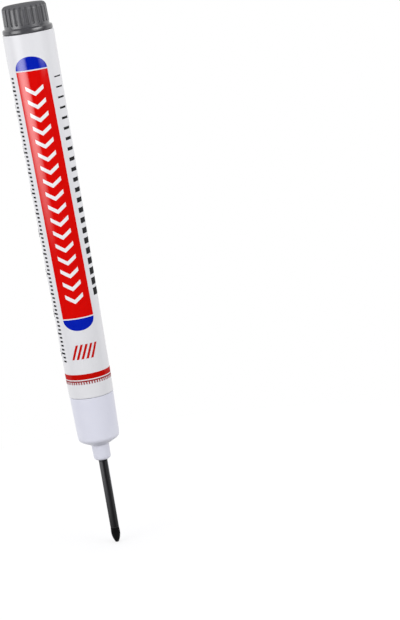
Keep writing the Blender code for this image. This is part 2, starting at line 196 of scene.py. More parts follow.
print("the glow of the paper grows from", PAPER_GLOW, "to", PAPER_EDGE_GLOW)

# %% [markdown]
# ## The studio around it
# The pen stands in a white tent that is open to a dark room at the camera's side. The tent gives a soft
# light, a little stronger from above than from below and from the left than from the right, and it is the
# white background. A mirror on the pen shows the same white behind and beside the pen, but towards the
# camera it shows the dark room. That is what keeps the colours of a glossy print deep in product
# photographs.

# %% Fill the tent with light
LIGHT_FROM_BELOW, LIGHT_FROM_ABOVE = 0.50, 0.81
LEVEL_LOW, LEVEL_HIGH = -0.6, 0.6  # of a direction along Z, from the light below to that above
LEFT_SHARE, RIGHT_SHARE = 1.08, 0.92

world = bpy.data.worlds.new("studio_tent")
scene.world = world
world.use_nodes = True
tree = world.node_tree
direction = add(tree, "TexCoord", {}).outputs["Generated"]
parts = add(tree, "SeparateXYZ", {"Vector": direction}).outputs
level = add(
    tree,
    "MapRange",
    {
        "Value": parts["Z"],
        "From Min": LEVEL_LOW,
        "From Max": LEVEL_HIGH,
        "To Min": LIGHT_FROM_BELOW,
        "To Max": LIGHT_FROM_ABOVE,
    },
    interpolation_type="SMOOTHSTEP",
).outputs["Result"]
sideways = add(
    tree,
    "MapRange",
    {"Value": parts["X"], "From Min": -1.0, "To Min": LEFT_SHARE, "To Max": RIGHT_SHARE},
).outputs["Result"]
strength = add(tree, "Math", {0: level, 1: sideways}, operation="MULTIPLY").outputs[0]
lit = tree.nodes["Background"]
set_inputs(tree, lit, {"Color": linear("#fcfcff"), "Strength": strength})
print("light from above", LIGHT_FROM_ABOVE, "and from below", LIGHT_FROM_BELOW)

# %% Show the tent and the dark room
ROOM_BRIGHTNESS = 0.02
TENT_EDGE_NEAR, TENT_EDGE_FAR = -0.10, 0.30  # of a direction along Y, from the dark room to the white tent

tent = add(
    tree,
    "MapRange",
    {
        "Value": parts["Y"],
        "From Min": TENT_EDGE_NEAR,
        "From Max": TENT_EDGE_FAR,
        "To Min": ROOM_BRIGHTNESS,
        "To Max": 1.0,
    },
    interpolation_type="SMOOTHSTEP",
)
white = add(tree, "Background", {"Color": linear("#ffffff"), "Strength": 1.0})
mirror = add(tree, "Background", {"Color": linear("#ffffff"), "Strength": tent.outputs["Result"]})
seen, mirrored = seen_rays(tree)
shown = add(tree, "MixShader", {0: mirrored, 1: white.outputs[0], 2: mirror.outputs[0]})
both = add(tree, "MixShader", {0: seen, 1: lit.outputs[0], 2: shown.outputs[0]})
set_inputs(tree, tree.nodes["World Output"], {"Surface": both.outputs[0]})
print("the dark room has", ROOM_BRIGHTNESS, "of the brightness of the tent")

# %% [markdown]
# ## Three softboxes
# A glossy tube mirrors what stands to its left and right: a point of the barrel that faces 30 degrees to
# the left mirrors what stands 60 degrees to the left. So the streaks on a print tell where the lamps
# stood. A wide softbox stands on the left. Its cloth is brightest along the middle and gets dimmer
# towards the floor, and that makes the long streak that fades down the panel. Two more hang on the right:
# only the top of the print reaches the lower one, and the sloping flange of the plug mirrors the higher
# one. An even lamp would give streaks with hard sides, so each lamp has nodes that read the place on its
# own cloth.

# %% Set up the softboxes
SOFTBOX_DISTANCE = 550
HUMP_GAIN = 4.0  # a place across the cloth times the rest of its width is a hump, a quarter high


def softbox(name, azimuth, width, low, high, glow, fade):
    """A cloth of light that faces the pen between two heights.

    Glow is its brightness along the middle, where white paper is 1. Both its sides fall off to nothing, and
    its lower edge does so over the height of the fade.
    """
    bpy.ops.object.light_add(type="AREA")
    lamp = bpy.context.object
    lamp.name = name
    lamp.data.shape = "RECTANGLE"
    lamp.data.size = width * MM
    lamp.data.size_y = (high - low) * MM
    lamp.data.energy = glow * math.pi * lamp.data.size * lamp.data.size_y
    turn = math.radians(azimuth)
    lamp.location = Vector((math.sin(turn), -math.cos(turn), 0)) * SOFTBOX_DISTANCE * MM
    lamp.location.z = (low + high) / 2 * MM
    lamp.rotation_euler = (math.pi / 2, 0, turn)
    lamp.data.use_nodes = True
    tree = lamp.data.node_tree
    cloth = add(tree, "NewGeometry", {}).outputs["Parametric"]
    spot = add(tree, "SeparateXYZ", {"Vector": cloth}).outputs
    left = add(tree, "Math", {0: 1.0, 1: spot["X"]}, operation="SUBTRACT").outputs[0]
    hump = add(tree, "Math", {0: spot["X"], 1: left}, operation="MULTIPLY").outputs[0]
    rise = add(
        tree,
        "MapRange",
        {"Value": spot["Y"], "From Max": fade / (high - low), "To Max": HUMP_GAIN},
    ).outputs["Result"]
    share = add(tree, "Math", {0: hump, 1: rise}, operation="MULTIPLY").outputs[0]
    set_inputs(tree, tree.nodes["Emission"], {"Strength": share})
    print(f"{name}: {lamp.data.energy:.2f} W")


softbox("left_softbox", azimuth=-59, width=580, low=-20, high=320, glow=3.4, fade=65)
softbox("right_softbox", azimuth=46, width=600, low=170, high=390, glow=5.2, fade=40)
softbox("right_reflector", azimuth=40, width=400, low=64, high=180, glow=1.5, fade=5)

# %% [markdown]
# ## Turned pieces
# Almost every piece of the pen is round. Each could be drawn as half an outline and spun, but a circle
# that is extruded and scaled from ring to ring is easier to follow, and it leaves no seam. An outline is
# a list of rings, each with its radius and height, and a ring may have a rounding, which becomes a bevel
# of its edge.

# %% Select and clean
WELD = 0.0005  # points closer than this, in millimetres, are one point
NEAR = 0.005  # points closer than this to a ring, in millimetres, lie on it


def hold(piece):
    """Selects one object alone and makes it the active one."""
    bpy.ops.object.select_all(action="DESELECT")
    piece.select_set(True)
    bpy.context.view_layer.objects.active = piece


def apply_place():
    """Moves the place, turn and scale of the active object into its points."""
    bpy.ops.object.transform_apply(location=True, rotation=True, scale=True)


def choose(kind, test):
    """In edit mode, selects the verts or edges whose points, in millimetres, pass the test."""
    bpy.ops.mesh.select_mode(type={"verts": "VERT", "edges": "EDGE"}[kind])
    bpy.ops.mesh.select_all(action="DESELECT")
    mesh = bpy.context.object.data
    shape = bmesh.from_edit_mesh(mesh)
    for item in getattr(shape, kind):
        points = [item.co / MM] if kind == "verts" else [vertex.co / MM for vertex in item.verts]
        item.select_set(test(points))
    bmesh.update_edit_mesh(mesh)


def on_ring(radius, height):
    """A test for points that lie on one ring of a turned piece."""
    return lambda points: all(
        abs(point.xy.length - radius) < NEAR and abs(point.z - height) < NEAR for point in points
    )


def weld_and_face_out():
    """In edit mode, merges points that lie together and turns every face outwards."""
    bpy.ops.mesh.select_all(action="SELECT")
    bpy.ops.mesh.remove_doubles(threshold=WELD * MM)
    bpy.ops.mesh.select_all(action="SELECT")
    bpy.ops.mesh.normals_make_consistent(inside=False)


def close_ends():
    """In edit mode, fills the open ends of a tube."""
    bpy.ops.mesh.select_mode(type="VERT")
    bpy.ops.mesh.select_all(action="DESELECT")
    bpy.ops.mesh.select_non_manifold()
    bpy.ops.mesh.fill_holes(sides=0)
    weld_and_face_out()


print("points weld within", WELD, "mm")

# %% Turn a piece
RING_SIDES = 128
THIN_RING_SIDES = 64
ROUNDING_STEPS = 6


def bevel_width(before, corner, after):
    """How far a corner's bevel reaches along its sides, so that its arc has the corner's rounding."""
    to_before = Vector(before[:2]) - Vector(corner[:2])
    to_after = Vector(after[:2]) - Vector(corner[:2])
    return corner[2] / math.tan(to_before.angle(to_after) / 2)


def turn_piece(name, outline, closed=False, sides=RING_SIDES):
    """Extrudes a circle along (radius, height, rounding) rings. A closed outline ends where it began."""
    radius, height = outline[0][:2]
    bpy.ops.mesh.primitive_circle_add(vertices=sides, radius=radius * MM, location=(0, 0, height * MM))
    piece = bpy.context.object
    piece.name = name
    piece.data.name = name
    apply_place()
    bpy.ops.object.mode_set(mode="EDIT")
    bpy.ops.mesh.select_all(action="SELECT")
    for ring in outline[1:] + (outline[:1] if closed else []):
        bpy.ops.mesh.extrude_region_move(TRANSFORM_OT_translate={"value": (0, 0, (ring[1] - height) * MM)})
        growth = ring[0] / radius
        bpy.ops.transform.resize(value=(growth, growth, 1), center_override=(0, 0, 0))
        radius, height = ring[:2]
    weld_and_face_out()
    if not closed:
        close_ends()
    for place, ring in enumerate(outline):
        if len(ring) == 3:
            choose("edges", on_ring(*ring[:2]))
            width = bevel_width(outline[place - 1], ring, outline[(place + 1) % len(outline)])
            bpy.ops.mesh.bevel(offset=width * MM, segments=ROUNDING_STEPS, affect="EDGES")
    bpy.ops.object.mode_set(mode="OBJECT")
    return piece


print("rings have", RING_SIDES, "sides, and thin ones", THIN_RING_SIDES)

# %% Finish a piece
SMOOTH_ANGLE = 35


def apply_boolean(piece, operation, tool):
    """Joins a tool to the piece or cuts it out, and removes the tool."""
    hold(piece)
    boolean = piece.modifiers.new(tool.name, "BOOLEAN")
    boolean.operation = operation
    boolean.solver = "EXACT"
    boolean.object = tool
    bpy.ops.object.modifier_apply(modifier=boolean.name)
    bpy.data.objects.remove(tool, do_unlink=True)
    bpy.ops.object.mode_set(mode="EDIT")
    bpy.ops.mesh.select_all(action="SELECT")
    bpy.ops.mesh.dissolve_degenerate(threshold=WELD * MM)
    bpy.ops.object.mode_set(mode="OBJECT")


def dress(piece, body, material, node=None, smooth=SMOOTH_ANGLE):
    """Shades a finished piece, gives it its material, and hangs it on its body of the CAD model."""
    hold(piece)
    bpy.ops.object.shade_smooth_by_angle(angle=math.radians(smooth))
    even = piece.modifiers.new("even_normals", "WEIGHTED_NORMAL")
    even.keep_sharp = True
    bpy.ops.object.modifier_apply(modifier=even.name)
    piece.data.materials.clear()
    piece.data.materials.append(material)
    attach(piece, body)
    if node:
        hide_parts(node)
    triangles = sum(len(face.vertices) - 2 for face in piece.data.polygons)
    print(f"{piece.name}: {triangles} triangles, {piece.dimensions.z / MM:.1f} mm high")


def reach(node):
    """The lowest and highest height of a CAD piece and its largest radius, in millimetres."""
    low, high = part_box(node)
    return low.z / MM, high.z / MM, high.x / MM


print("the barrel reaches from {:.1f} to {:.1f} mm, with a radius of {:.2f} mm".format(*reach("barrel")))

# %% [markdown]
# ## Moulded plastic
# Barrel, collar, plug and retainer are injection-moulded polypropylene or polyethylene. Such a plastic is
# never one flat colour: its pigment is a little cloudy over a few millimetres, and the steel of the mould
# leaves a fine grain that breaks up the gloss. Both come from noise. One function makes all these
# plastics, because they differ only in colour and in how finely they shine.

# %% The recipe for moulded plastic
GLOSS_SPREAD = 0.06


def moulded_plastic(name, deep, pale, roughness, clouds, grain, relief):
    """Clouds between two hex values, and a grain with a relief. Their sizes are in millimetres."""
    material, tree, shader = new_material(name)
    pigment = noise(tree, clouds, detail=3.0)
    steel = noise(tree, grain)
    tint = add(tree, "Mix", {SHARE: pigment, DEEP: linear(deep), PALE: linear(pale)}, data_type="RGBA")
    gloss = add(
        tree,
        "MapRange",
        {"Value": steel, "To Min": roughness - GLOSS_SPREAD, "To Max": roughness + GLOSS_SPREAD},
    )
    bump = add(tree, "Bump", {"Height": steel, "Strength": 0.5, "Distance": relief * MM})
    finish = {
        "Base Color": tint.outputs[MIXED],
        "Roughness": gloss.outputs["Result"],
        "Normal": bump.outputs["Normal"],
        "IOR": 1.49,  # polypropylene, and nearly that of polyethylene
    }
    set_inputs(tree, shader, finish)
    return material


# White polypropylene from a polished mould: clean and fairly glossy, a touch cool
barrel_plastic = moulded_plastic(
    "white_polypropylene", "#dddde0", "#e5e5e7", roughness=0.24, clouds=6.0, grain=0.35, relief=0.002
)
# The same plastic with a trace of violet pigment, from a satin mould: soft, with no sharp highlight
collar_plastic = moulded_plastic(
    "lilac_white_polypropylene", "#d9dae7", "#e2e3ed", roughness=0.30, clouds=5.0, grain=0.30, relief=0.003
)
# Natural polyethylene with no pigment: milky and waxy
retainer_plastic = moulded_plastic(
    "natural_polyethylene", "#e0e0d6", "#ecece4", roughness=0.45, clouds=4.0, grain=0.30, relief=0.003
)
print("moulded plastics:", barrel_plastic.name, collar_plastic.name, retainer_plastic.name)

# %% [markdown]
# ## The barrel
# The barrel is a white tube that widens from the collar to the tail. Both its ends have a fine rounded
# edge, and inside it has a seat for the rubber seal and a groove for the thread of the plug. The groove
# is a round cord on a helix, cut out with a Boolean. A circle with a Screw modifier makes that cord, and
# the same helper makes the thread of the plug later.

# %% A cord on a helix
THREAD_PITCH = 2.0
THREAD_START = 121.7
THREAD_HELIX_RADIUS = 4.95
THREAD_CORD_RADIUS = 0.5
THREAD_CLEARANCE = 0.15
CORD_SIDES = 16
CORD_STEPS_PER_TURN = 48


def helix_cord(name, cord_radius, first_turn, last_turn):
    """A closed round cord on the right-hand helix of the thread. The thread of the plug starts at turn 0."""
    bpy.ops.mesh.primitive_circle_add(
        vertices=CORD_SIDES,
        radius=cord_radius * MM,
        location=(THREAD_HELIX_RADIUS * MM, 0, (THREAD_START + THREAD_PITCH * first_turn) * MM),
        rotation=(math.pi / 2, 0, 0),
    )
    cord = bpy.context.object
    cord.name = name
    apply_place()
    turns = last_turn - first_turn
    wind = cord.modifiers.new("wind", "SCREW")
    wind.angle = 2 * math.pi * turns
    wind.screw_offset = THREAD_PITCH * MM * turns
    wind.steps = round(CORD_STEPS_PER_TURN * turns)
    wind.render_steps = wind.steps
    bpy.ops.object.modifier_apply(modifier=wind.name)
    cord.rotation_euler.z = 2 * math.pi * first_turn
    apply_place()
    bpy.ops.object.mode_set(mode="EDIT")
    close_ends()
    bpy.ops.object.mode_set(mode="OBJECT")
    print(f"{name}: {turns:.2f} turns of a cord {2 * cord_radius:.1f} mm thick")
    return cord


print("the thread rises by", THREAD_PITCH, "mm a turn")

# %% Turn the barrel
BARREL_FRONT, BARREL_TAIL, BARREL_TAIL_RADIUS = reach("barrel")
BARREL_FRONT_RADIUS = 5.5
BARREL_EDGE_ROUNDING = 0.15
FRONT_BORE = 4.6
TAIL_BORE = 5.2
SEAL_SEAT_RADIUS = 5.65
SEAL_SEAT_DEPTH = 1.1
GROOVE_FIRST_TURN = -0.2
GROOVE_LAST_TURN = 3.2
GROOVE_RADIUS = THREAD_CORD_RADIUS + THREAD_CLEARANCE
NECK_FRONT, COLLAR_SPIGOT_REAR, COLLAR_RADIUS = reach("front_collar")
_, RESERVOIR_REAR, _ = reach("reservoir_core")

barrel = turn_piece(
    "printed_barrel",
    [
        (BARREL_FRONT_RADIUS, BARREL_FRONT, BARREL_EDGE_ROUNDING),
        (BARREL_TAIL_RADIUS, BARREL_TAIL, BARREL_EDGE_ROUNDING),
        (SEAL_SEAT_RADIUS, BARREL_TAIL),
        (SEAL_SEAT_RADIUS, BARREL_TAIL - SEAL_SEAT_DEPTH),
        (TAIL_BORE, BARREL_TAIL - SEAL_SEAT_DEPTH),
        (TAIL_BORE, RESERVOIR_REAR),
        (FRONT_BORE, COLLAR_SPIGOT_REAR),
        (FRONT_BORE, BARREL_FRONT),
    ],
    closed=True,
)
groove = helix_cord("thread_groove", GROOVE_RADIUS, GROOVE_FIRST_TURN, GROOVE_LAST_TURN)
apply_boolean(barrel, "DIFFERENCE", groove)

# %% [markdown]
# ## The ribs inside the barrel
# Six thin ribs run along the inside of the barrel, and the ink reservoir is held between them. A rib is a
# cube that is scaled to a plate. Its inner edge is straight, and its outer edge leans with the tapered
# wall, so the points of its upper outer edge are moved out. Five more copies are turned about the pen,
# and a Boolean adds them.

# %% Add the ribs
RIB_COUNT = 6
RIB_WIDTH = 0.8
RIB_SINK = 0.2  # how far a rib reaches into the wall
RIB_EDGE_RADIUS = 4.1

rib_root = FRONT_BORE + RIB_SINK
rib_middle = (COLLAR_SPIGOT_REAR + RESERVOIR_REAR) / 2
bpy.ops.mesh.primitive_cube_add(
    size=MM, location=((RIB_EDGE_RADIUS + rib_root) / 2 * MM, 0, rib_middle * MM)
)
ribs = bpy.context.object
ribs.name = "barrel_ribs"
ribs.scale = (rib_root - RIB_EDGE_RADIUS, RIB_WIDTH, RESERVOIR_REAR - COLLAR_SPIGOT_REAR)
apply_place()
bpy.ops.object.mode_set(mode="EDIT")
choose("verts", lambda points: points[0].x > FRONT_BORE and points[0].z > rib_middle)
bpy.ops.transform.translate(value=((TAIL_BORE - FRONT_BORE) * MM, 0, 0))
bpy.ops.mesh.select_all(action="SELECT")
spacing = 2 * math.pi / RIB_COUNT
bpy.ops.transform.rotate(value=-spacing / 2, orient_axis="Z", center_override=(0, 0, 0))
for _ in range(RIB_COUNT - 1):
    bpy.ops.mesh.duplicate()
    bpy.ops.transform.rotate(value=-spacing, orient_axis="Z", center_override=(0, 0, 0))
weld_and_face_out()
bpy.ops.object.mode_set(mode="OBJECT")
apply_boolean(barrel, "UNION", ribs)
dress(barrel, "barrel", barrel_plastic, node="barrel")

# %% [markdown]
# ## The front collar
# The collar is the nose of the pen. It steps in a little from the barrel, runs forward with a slight
# draft, rounds over into a cone, and ends in a narrow neck that holds the sleeve. The roundings do most
# of the work here: they carry the soft shading that tells the eye that this is moulded plastic.

# %% Turn the front collar
NECK_RADIUS = 2.1
NECK_ROUNDING = 0.85
NECK_ROOT, NECK_ROOT_RADIUS, NECK_ROOT_ROUNDING = 25.5, 2.2, 0.3
SHOULDER, SHOULDER_RADIUS, SHOULDER_ROUNDING = 27.1, 5.14, 1.2
COLLAR_REAR, COLLAR_EDGE_ROUNDING = 38.4, 0.15
COLLAR_SPIGOT_RADIUS, COLLAR_SPIGOT_ROUNDING = 4.55, 0.3
SPIGOT_BORE, SPIGOT_BORE_END = 3.65, 32.8
RETAINER_BORE, RETAINER_BORE_END = 2.25, 26.5
NECK_BORE = 1.15

collar = turn_piece(
    "front_collar_nose",
    [
        (NECK_RADIUS, NECK_FRONT, NECK_ROUNDING),
        (NECK_ROOT_RADIUS, NECK_ROOT, NECK_ROOT_ROUNDING),
        (SHOULDER_RADIUS, SHOULDER, SHOULDER_ROUNDING),
        (COLLAR_RADIUS, COLLAR_REAR, COLLAR_EDGE_ROUNDING),
        (COLLAR_SPIGOT_RADIUS, COLLAR_REAR),
        (COLLAR_SPIGOT_RADIUS, COLLAR_SPIGOT_REAR, COLLAR_SPIGOT_ROUNDING),
        (SPIGOT_BORE, COLLAR_SPIGOT_REAR),
        (SPIGOT_BORE, SPIGOT_BORE_END),
        (RETAINER_BORE, SPIGOT_BORE_END),
        (RETAINER_BORE, RETAINER_BORE_END),
        (NECK_BORE, RETAINER_BORE_END),
        (NECK_BORE, NECK_FRONT),
    ],
    closed=True,
)
dress(collar, "barrel", collar_plastic, node="front_collar")

# %% [markdown]
# ## The sleeve
# A stiff dark tube holds the thin nib straight over its whole length. It is extruded acetal, so it has
# fine draw lines and paler scuffs along it, and the scuffs are placed so that they also paint a highlight
# and a shade along it. Its lower part is painted darker as shade, and so is a thin band in the corner under
# the neck. Lines and scuffs are noises that are stretched along the pen. The painted shade and a painted
# highlight on the front edge are colours that are mixed in over the height.

# %% Turn the sleeve
SLEEVE_FRONT, SLEEVE_REAR, SLEEVE_FLANGE_RADIUS = reach("nib_sleeve")
SLEEVE_BORE = 0.8
SLEEVE_RADIUS = 1.1
SLEEVE_FRONT_RADIUS, SLEEVE_FRONT_ROUNDING = 1.06, 0.06
SLEEVE_SEAT = 26.6

sleeve = turn_piece(
    "nib_sleeve_tube",
    [
        (SLEEVE_FRONT_RADIUS, SLEEVE_FRONT, SLEEVE_FRONT_ROUNDING),
        (SLEEVE_RADIUS, NECK_FRONT),
        (SLEEVE_RADIUS, SLEEVE_SEAT),
        (SLEEVE_FLANGE_RADIUS, SLEEVE_SEAT),
        (SLEEVE_FLANGE_RADIUS, SLEEVE_REAR),
        (SLEEVE_BORE, SLEEVE_REAR),
        (SLEEVE_BORE, SLEEVE_FRONT),
    ],
    closed=True,
    sides=THIN_RING_SIDES,
)
print("sleeve of", 2 * SLEEVE_RADIUS, "mm with a bore of", 2 * SLEEVE_BORE, "mm")

# %% Ink and scuff the sleeve
DRAW_LINE_WIDTH, DRAW_LINE_LENGTH, DRAW_LINE_RELIEF = 0.12, 9.0, 0.004
SCUFF_AND_HIGHLIGHT_WIDTH, SCUFF_AND_HIGHLIGHT_LENGTH = 0.85, 40.0
SCUFF_AND_HIGHLIGHT_SHIFT = (0.36, 55.28, 0.0)  # slides the noise so that pale scuffs paint a highlight down the left of the front and dark ones a shade down its middle
SCUFF_AND_HIGHLIGHT_START, SCUFF_AND_HIGHLIGHT_FULL = 0.38, 0.66  # of the noise
PAINTED_NECK_SHADE = 0.45  # how far the painted shade reaches down from the neck
# how high the painted highlight on the front edge reaches
PAINTED_EDGE_HIGHLIGHT = 0.12

# Extruded acetal: semi-gloss with streaks of paler, scuffed plastic along it, which also paint a highlight.
# Painted shade darkens it towards the nib and in the corner under the neck, and a painted highlight makes
# the front edge pale
acetal, tree, shader = new_material("grey_acetal_with_painted_light")
lines = noise(tree, DRAW_LINE_WIDTH, DRAW_LINE_LENGTH)
# scuffs along the sleeve, slid so that they also paint its highlight and shade
scuffs_and_highlight = noise(tree, SCUFF_AND_HIGHLIGHT_WIDTH, SCUFF_AND_HIGHLIGHT_LENGTH, shift=SCUFF_AND_HIGHLIGHT_SHIFT)
scuffed_and_highlit = add(tree, "MapRange", {"Value": scuffs_and_highlight, "From Min": SCUFF_AND_HIGHLIGHT_START, "From Max": SCUFF_AND_HIGHLIGHT_FULL})
tint = add(
    tree,
    "Mix",
    {SHARE: scuffed_and_highlit.outputs["Result"], DEEP: linear("#161618"), PALE: linear("#606062")},
    data_type="RGBA",
).outputs[MIXED]
place = add(tree, "TexCoord", {}).outputs["Object"]
height = add(tree, "SeparateXYZ", {"Vector": place}).outputs["Z"]
for low, high, at_low, colour in (
    (SLEEVE_FRONT, NECK_FRONT, 0.85, "#070709"),  # painted shade, darker towards the nib
    (NECK_FRONT - PAINTED_NECK_SHADE / 2, NECK_FRONT - PAINTED_NECK_SHADE, 1.0, "#050506"),  # painted shade under the neck
    (SLEEVE_FRONT, SLEEVE_FRONT + PAINTED_EDGE_HIGHLIGHT, 0.9, "#5c5c5e"),  # painted highlight on the front edge
):
    share = add(
        tree,
        "MapRange",
        {"Value": height, "From Min": low * MM, "From Max": high * MM, "To Min": at_low, "To Max": 0.0},
    ).outputs["Result"]
    mixed = {SHARE: share, DEEP: tint, PALE: linear(colour)}
    tint = add(tree, "Mix", mixed, data_type="RGBA").outputs[MIXED]
gloss = add(tree, "MapRange", {"Value": lines, "To Min": 0.28, "To Max": 0.46})
bump = add(tree, "Bump", {"Height": lines, "Strength": 0.4, "Distance": DRAW_LINE_RELIEF * MM})
finish = {
    "Base Color": tint,
    "Roughness": gloss.outputs["Result"],
    "Normal": bump.outputs["Normal"],
    "Specular IOR Level": 0.12,
}
set_inputs(tree, shader, finish)
dress(sleeve, "barrel", acetal, node="nib_sleeve")

# %% [markdown]
# ## The nib
# The nib is a rod of bonded polyester fibres, ground to a bullet shape and soaked with black ink. Its
# flanks swell and close in a smooth curve, so the rings follow a formula. The fibres run along the rod,
# and where the head is ground they show as fine dark and less dark lines.

# %% Grind the nib
_, NIB_REAR, NIB_HEAD_RADIUS = reach("nib")
NIB_ROD_RADIUS = 0.75
NIB_NECK_RADIUS = 1.06
NIB_HEAD_REAR = 3.8
NIB_WIDEST_HEIGHT = 2.7
NIB_POINT_RADIUS = 0.5
NIB_HEAD_RINGS = 14
NIB_POINT_RINGS = 7

point_height = NIB_POINT_RADIUS / 2
rings = [(NIB_ROD_RADIUS / 2, NIB_REAR), (NIB_ROD_RADIUS, NIB_REAR - NIB_ROD_RADIUS)]
rings += [(NIB_ROD_RADIUS, NIB_HEAD_REAR), (NIB_NECK_RADIUS, NIB_HEAD_REAR)]
for step in range(NIB_HEAD_RINGS + 1):
    share = step / NIB_HEAD_RINGS
    swell = NIB_POINT_RADIUS + (NIB_HEAD_RADIUS - NIB_POINT_RADIUS) * (1 - share**2)
    rings.append((swell, NIB_WIDEST_HEIGHT - (NIB_WIDEST_HEIGHT - point_height) * share))
for step in range(1, NIB_POINT_RINGS + 1):
    angle = math.pi / 2 * step / NIB_POINT_RINGS
    rings.append((max(NIB_POINT_RADIUS * math.cos(angle), 0), point_height * (1 - math.sin(angle))))
nib = turn_piece("fibre_nib", rings, sides=THIN_RING_SIDES)
print("the nib has", len(rings), "rings")

# %% Soak the nib with ink
FIBRE_RELIEF = 0.02


def inked_fibre(name, deep, pale, fibre_width, fibre_length, roughness):
    """Fibres of that size in millimetres along the pen, between two hex values."""
    material, tree, shader = new_material(name)
    strands = noise(tree, fibre_width, fibre_length, detail=4.0)
    tint = add(tree, "Mix", {SHARE: strands, DEEP: linear(deep), PALE: linear(pale)}, data_type="RGBA")
    bump = add(tree, "Bump", {"Height": strands, "Strength": 0.7, "Distance": FIBRE_RELIEF * MM})
    finish = {
        "Base Color": tint.outputs[MIXED],
        "Roughness": roughness,
        "Normal": bump.outputs["Normal"],
        "Specular IOR Level": 0.08,
    }
    set_inputs(tree, shader, finish)
    return material


# Polyester fibre soaked with ink: almost black and dull, with a faint shine along the fibres. Real fibres
# are about 0.02 mm thick, too fine for this picture, so they are drawn four times as thick
nib_fibre = inked_fibre(
    "inked_polyester_fibre", "#020202", "#0b0b0c", fibre_width=0.08, fibre_length=1.5, roughness=0.6
)
dress(nib, "barrel", nib_fibre, node="nib")

# %% [markdown]
# ## The tail plug
# The plug closes the tail of the barrel. Its knob has flutes all round for the fingers, and a glossy
# flange under them. Cutting the flutes with Booleans would leave hard edges, so the wall of the knob gets
# a fine grid and its points are pressed inwards by a formula: deepest along the middle of a flute, fading
# to nothing at its sides and at its round ends.

# %% Turn the tail plug
SKIRT_END, KNOB_TOP, FLANGE_RADIUS = reach("tail_plug")
FLANGE_SEAT, FLANGE_SEAT_ROUNDING = 128.3, 0.3
FLANGE_TOP, FLANGE_TOP_RADIUS, FLANGE_TOP_ROUNDING = 129.5, 6.0, 0.35
KNOB_RADIUS, KNOB_ROOT_ROUNDING = 5.46, 0.15
KNOB_TOP_RADIUS, KNOB_ROUNDING = 5.36, 1.1
DIMPLE_RADIUS, DIMPLE_FLOOR_RADIUS, DIMPLE_DEPTH = 0.7, 0.5, 0.15  # left by the gate of the mould
SEAL_NECK_RADIUS = 4.75
SPIGOT_TOP, SPIGOT_END = 127.1, 120.7
SPIGOT_RADIUS, SPIGOT_ROUNDING = 5.05, 0.25
SKIRT_RADIUS = 4.05
PLUG_BORE, PLUG_CEILING = 3.35, 133.4
THREAD_TURNS = 1.25
FLUTES = 24
SIDES_PER_FLUTE = 16

plug = turn_piece(
    "tail_plug_knob",
    [
        (PLUG_BORE, PLUG_CEILING),
        (PLUG_BORE, SKIRT_END),
        (SKIRT_RADIUS, SKIRT_END),
        (SKIRT_RADIUS, SPIGOT_END),
        (SPIGOT_RADIUS, SPIGOT_END, SPIGOT_ROUNDING),
        (SPIGOT_RADIUS, SPIGOT_TOP),
        (SEAL_NECK_RADIUS, SPIGOT_TOP),
        (SEAL_NECK_RADIUS, FLANGE_SEAT),
        (FLANGE_RADIUS, FLANGE_SEAT, FLANGE_SEAT_ROUNDING),
        (FLANGE_TOP_RADIUS, FLANGE_TOP, FLANGE_TOP_ROUNDING),
        (KNOB_RADIUS, FLANGE_TOP, KNOB_ROOT_ROUNDING),
        (KNOB_TOP_RADIUS, KNOB_TOP, KNOB_ROUNDING),
        (DIMPLE_RADIUS, KNOB_TOP),
        (DIMPLE_FLOOR_RADIUS, KNOB_TOP - DIMPLE_DEPTH),
    ],
    sides=FLUTES * SIDES_PER_FLUTE,
)
thread = helix_cord("plug_thread", THREAD_CORD_RADIUS, 0, THREAD_TURNS)
apply_boolean(plug, "UNION", thread)

# %% Press the flutes into the knob
FLUTE_LOW = 130.6
FLUTE_HIGH = 134.15
FLUTE_HALF_WIDTH = 0.4
FLUTE_DEPTH = 0.45
FLUTE_EDGE = 0.3  # the share of the half width where the surface bends into the flute
FLUTE_SHIFT = 0.25  # where the first flute lies, as a share of their spacing
WALL_CUTS = 44
WALL_DEPTH = 0.05  # points this far inside the radius of the top still belong to the wall
SHORTEST_WALL_EDGE = 2.0

hold(plug)
bpy.ops.object.mode_set(mode="EDIT")
choose(
    "edges",
    lambda points: all(point.xy.length > KNOB_TOP_RADIUS - WALL_DEPTH for point in points)
    and min(point.z for point in points) > FLANGE_TOP
    and abs(points[0].z - points[1].z) > SHORTEST_WALL_EDGE,
)
bpy.ops.mesh.subdivide(number_cuts=WALL_CUTS)
bpy.ops.object.mode_set(mode="OBJECT")
spacing = 2 * math.pi / FLUTES
for vertex in plug.data.vertices:
    point = vertex.co / MM
    radius = point.xy.length
    if radius < KNOB_TOP_RADIUS - KNOB_ROUNDING or point.z < FLANGE_TOP:
        continue
    flute = math.atan2(point.y, point.x) / spacing - FLUTE_SHIFT
    across = (flute - round(flute)) * spacing * radius
    along = max(FLUTE_LOW - point.z, point.z - FLUTE_HIGH, 0)
    nearness = max(1 - math.hypot(across, along) / FLUTE_HALF_WIDTH, 0)
    bend = min(nearness / FLUTE_EDGE, 1)
    depth = FLUTE_DEPTH * math.sqrt(1 - (1 - nearness) ** 2) * bend**2 * (3 - 2 * bend)
    vertex.co.x *= 1 - depth / radius
    vertex.co.y *= 1 - depth / radius
print(FLUTES, "flutes,", FLUTE_DEPTH, "mm deep")

# %% Give the plug its three finishes
WALL_START, WALL_FULL = FLANGE_TOP, FLANGE_TOP + 0.3
TOP_START, TOP_FULL = KNOB_TOP - KNOB_ROUNDING, KNOB_TOP - KNOB_ROUNDING / 4
WALL_ROUGHNESS, TOP_ROUGHNESS = 0.22, 1.0
FLUTE_SMOOTH_ANGLE = 45  # larger than elsewhere, because the flutes bend steeply
